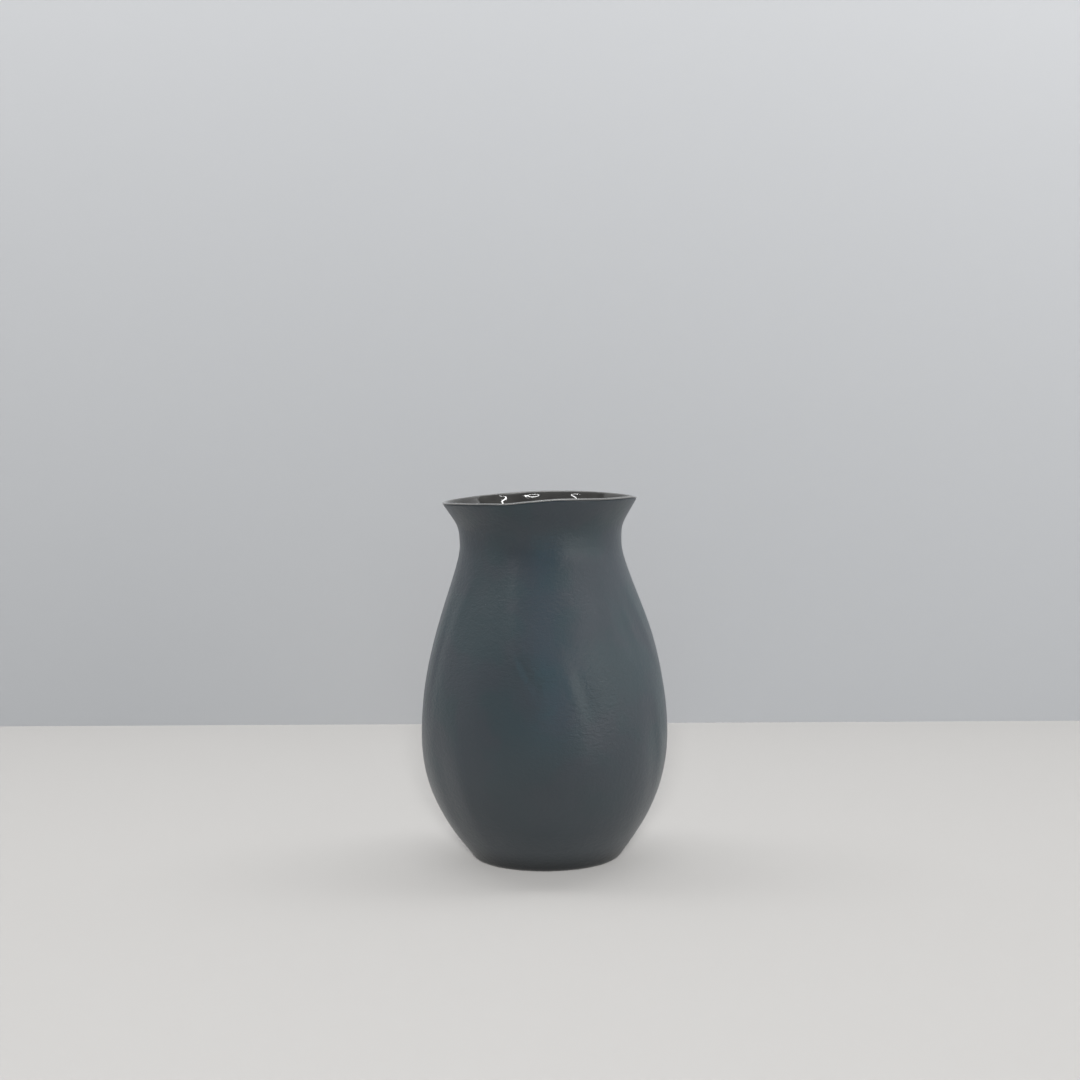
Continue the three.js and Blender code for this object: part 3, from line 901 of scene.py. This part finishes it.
def fibre_tree():
    tree, s, given, out = new_tree("fray_rim", [
        ("Fibres each m2", "Float", 2.2e6),
        ("Length", "Float", 0.9 * MM),
        ("Thickness", "Float", 0.03 * MM),
        ("Seed", "Int", 7),
        ("Finish", "Material", None),
    ])
    _, _, up_share = s.split(s.node("GeometryNodeInputNormal").outputs[0])
    _, _, height = s.split(s.position())
    on_rim = s.node("FunctionNodeCompare", data_type="FLOAT", operation="LESS_THAN")
    s.feed(on_rim.inputs[0], s.sum("ABSOLUTE", up_share))
    on_rim.inputs[1].default_value = 0.3
    scattered = s.node("GeometryNodeDistributePointsOnFaces")
    s.feed(scattered.inputs["Mesh"], given["Geometry"])
    s.feed(scattered.inputs["Selection"], on_rim.outputs[0])
    s.feed(scattered.inputs["Density"], given["Fibres each m2"])
    s.feed(scattered.inputs["Seed"], given["Seed"])
    spike = s.node("GeometryNodeMeshCone")
    spike.inputs["Vertices"].default_value = 3
    s.feed(spike.inputs["Radius Bottom"], given["Thickness"])
    spike.inputs["Radius Top"].default_value = 0.0
    s.feed(spike.inputs["Depth"], given["Length"])
    tilt = s.node("FunctionNodeRandomValue", data_type="FLOAT_VECTOR")
    tilt.inputs["Min"].default_value = (-1.3, -1.3, 0)
    tilt.inputs["Max"].default_value = (1.3, 1.3, 0)
    s.feed(tilt.inputs["Seed"], given["Seed"])
    turned = s.node("FunctionNodeRotateEuler", rotation_type="EULER", space="LOCAL")
    s.feed(turned.inputs["Rotation"], scattered.outputs["Rotation"])
    s.feed(turned.inputs["Rotate By"], tilt.outputs[0])
    placed = s.node("GeometryNodeInstanceOnPoints")
    s.feed(placed.inputs["Points"], scattered.outputs["Points"])
    s.feed(placed.inputs["Instance"], spike.outputs["Mesh"])
    s.feed(placed.inputs["Rotation"], turned.outputs[0])
    fibres = s.node("GeometryNodeRealizeInstances")
    s.feed(fibres.inputs["Geometry"], placed.outputs[0])
    x, y, height = s.split(s.position())
    rest = PRESSED_BELOW * MM * (1 - PRESSED_SHARE)
    pressed = s.sum("MAXIMUM", height, s.sum("ADD", s.sum("MULTIPLY", height, PRESSED_SHARE), rest))
    both = s.node("GeometryNodeJoinGeometry")
    s.feed(both.inputs[0], given["Geometry"])
    s.feed(both.inputs[0], s.moved(fibres.outputs[0], position=s.joined(x, y, pressed)))
    real = s.node("GeometryNodeRealizeInstances")
    s.feed(real.inputs["Geometry"], both.outputs[0])
    coated = s.node("GeometryNodeSetMaterial")
    s.feed(coated.inputs["Geometry"], real.outputs[0])
    s.feed(coated.inputs["Material"], given["Finish"])
    s.feed(out[0], coated.outputs[0])
    return tree


# %% The felt pad
pad = made_real(outline_object("felt_disc", *pad_outline()), FORM, Around=180, Finish=felt)
pad = made_real(pad, fibre_tree(), Finish=felt)
print("the pad's lowest point is", round(min(v.co.z for v in pad.data.vertices) / MM, 3), "mm above the table")
print("its widest fibre reaches", round(max(v.co.xy.length for v in pad.data.vertices) / MM, 2), "mm from the axis")

# %% [markdown]
# ## What each piece rides on and replaces
#
# The vase has one body. Every piece made here takes the place of its CAD node, and the base plate,
# which is a plain turned disc, keeps its CAD mesh and gets its finish.

# %% What each piece rides on and replaces
for piece, node, slot in (
    (wall, "outer_wall", "slate_coat"),
    (lining, "enamel_lining", "warm_grey_enamel"),
    (bead, "weld_bead", "bare_aluminium"),
    (pad, "felt_pad", "charcoal_felt"),
):
    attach(piece, "root")
    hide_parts(node)
    print(piece.name, "replaces", node)
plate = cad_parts["base_plate"]
plate.data.materials.clear()
plate.data.materials.append(aluminium)

# %% [markdown]
# ## The table and the wall behind it
#
# The vase stands on a pale matte table with a plain wall half a metre behind. Neither is part of the
# object. The wall is painted on its front alone and clear from its back, as a stage flat that is left
# open behind, so the vase can be looked at from all round.


# %% The table and the wall behind it
def sheet(name, corners, material):
    mesh = bpy.data.meshes.new(name)
    mesh.from_pydata(corners, [], [range(len(corners))])
    mesh.materials.append(material)
    obj = bpy.data.objects.new(name, mesh)
    bpy.context.scene.collection.objects.link(obj)
    return obj


def stage_paint(name, colour, roughness, gloss):
    material, s, shader, here = blank_finish(name)
    shader.inputs["Specular IOR Level"].default_value = gloss
    shader.inputs["Base Color"].default_value = (*colour, 1)
    shader.inputs["Roughness"].default_value = roughness
    return material


BACKDROP = 0.472
table_paint = stage_paint("pale_table", (0.374, 0.367, 0.359), 0.9, 0.0)
wall_paint = stage_paint("pale_backdrop", (0.487, 0.489, 0.497), 0.9, 0.5)
nodes, links = wall_paint.node_tree.nodes, wall_paint.node_tree.links
side, clear, either = (nodes.new(kind) for kind in ("ShaderNodeNewGeometry", "ShaderNodeBsdfTransparent", "ShaderNodeMixShader"))
paint = next(node for node in nodes if node.type == "BSDF_PRINCIPLED")
output = next(node for node in nodes if node.type == "OUTPUT_MATERIAL")
links.new(side.outputs["Backfacing"], either.inputs[0])
links.new(paint.outputs[0], either.inputs[1])
links.new(clear.outputs[0], either.inputs[2])
links.new(either.outputs[0], output.inputs["Surface"])
table_top = sheet("table_top", [(-3, -3, 0), (3, -3, 0), (3, BACKDROP, 0), (-3, BACKDROP, 0)], table_paint)
sheet("backdrop", [(-3, BACKDROP, 0), (3, BACKDROP, 0), (3, BACKDROP, 3), (-3, BACKDROP, 3)], wall_paint)

# %% [markdown]
# ## Light
#
# A photographer would light this vase with soft boxes: panels of even light, each two metres away and
# as tall as a window. The matte coat shows them as broad, faint sheens, so where they stand decides
# how the body reads. High ones on both sides round it, a row of low ones draws its belly, and bluish
# ones in front cool the middle. Light linking gives each lamp its own work, as flags and black cloth
# do in a studio: the vase's lamps leave the table alone, and the table has a far, low window in front
# and a panel over its back, which keep the shadow under the foot short and tight. Three thin lamps
# shine on the enamel only, and show in it as short bright strokes inside the mouth.

# %% The room and its soft boxes
MIDDLE = Vector((0, 0, 0.12))
AWAY = 2.0                 # metres
SOFTBOX_TALL = 22          # degrees, as seen from the vase
DAY = (1, 1, 1)
BLUE_DAY = (0.27, 0.77, 1.0)
DEEP_BLUE = (0.05, 0.45, 1.0)

world = bpy.data.worlds.new("room_light")
bpy.context.scene.world = world
world.use_nodes = True
room = world.node_tree.nodes["Background"]
room.inputs["Color"].default_value = (1.0, 1.0, 1.0, 1)
room.inputs["Strength"].default_value = 0.25


def panel(name, bearing, rise, size, power, colour=DAY, shape="RECTANGLE", away=AWAY):
    """A lamp facing the vase, its bearing counted from the camera's side, its rise from level."""
    turn, tilt = math.radians(bearing), math.radians(rise)
    towards = Vector((math.cos(tilt) * math.sin(turn), -math.cos(tilt) * math.cos(turn), math.sin(tilt)))
    data = bpy.data.lights.new(name, "AREA")
    data.shape = shape
    data.size, data.size_y = size
    data.energy = power
    data.color = colour
    obj = bpy.data.objects.new(name, data)
    obj.location = MIDDLE + towards * away
    obj.rotation_euler = towards.to_track_quat("Z", "Y").to_euler()
    bpy.context.scene.collection.objects.link(obj)
    return obj


def soft_box(name, bearing, rise, wide, power, colour=DAY):
    """A panel so many degrees wide as seen from the vase."""
    width = AWAY * math.cos(math.radians(rise)) * math.radians(wide)
    return panel(name, bearing, rise, (width, AWAY * math.radians(SOFTBOX_TALL)), power, colour)


vase_lamps = [
    panel("ceiling_front", 0, 84, (1.9, 1.0), 7.5, shape="ELLIPSE", away=1.8),
    panel("ceiling_back", 180, 75, (1.9, 1.0), 24, shape="ELLIPSE", away=1.8),
    soft_box("front_left", -40, 32, 20, 1.4),
    soft_box("front_blue", 0, 32, 20, 0.6, DEEP_BLUE),
    soft_box("low_back_left", -100, 10, 20, 0.4),
    soft_box("low_left", -80, 10, 20, 0.75),
    soft_box("low_front", 0, 10, 20, 1.9, BLUE_DAY),
    soft_box("low_front_right", 20, 10, 20, 0.8, DEEP_BLUE),
    soft_box("low_window", 40, 10, 20, 3.8),
    soft_box("low_window_side", 60, 10, 20, 2.4),
    soft_box("low_right", 80, 10, 20, 1.3),
    soft_box("low_back", 100, 10, 20, 1.2),
]
high_boxes = [
    soft_box("high_left", -80, 54, 20, 20),
    soft_box("high_right", 88, 54, 34, 24),
    soft_box("high_right_front", 58, 54, 26, 5),
]
table_lamps = [
    panel("table_far_window", 0, 14, (1.8, 1.8), 2300, away=8),
    panel("table_ceiling", 180, 76, (3.0, 0.8), 40, away=1.8),
]
enamel_lamps = [
    panel("ceiling_lamp", bearing, rise, (width, 0.015), 1.5 * width)
    for bearing, rise, width in ((57.7, 58.9, 0.6), (12.3, 62.9, 0.6), (-55.6, 54.9, 0.6))
]



def shared_out(name, lamps, things, state):
    """Keeps these lamps off the things, or with INCLUDE off all but the things."""
    group = bpy.data.collections.new(name)
    for place, thing in enumerate(things):
        group.objects.link(thing)
        group.collection_objects[place].light_linking.link_state = state
    for lamp in lamps:
        lamp.light_linking.receiver_collection = group


shared_out("off_enamel_and_table", high_boxes, [lining, table_top], "EXCLUDE")
shared_out("off_table", vase_lamps, [table_top], "EXCLUDE")
shared_out("table_alone", table_lamps, [table_top], "INCLUDE")
shared_out("enamel_alone", enamel_lamps, [lining], "INCLUDE")
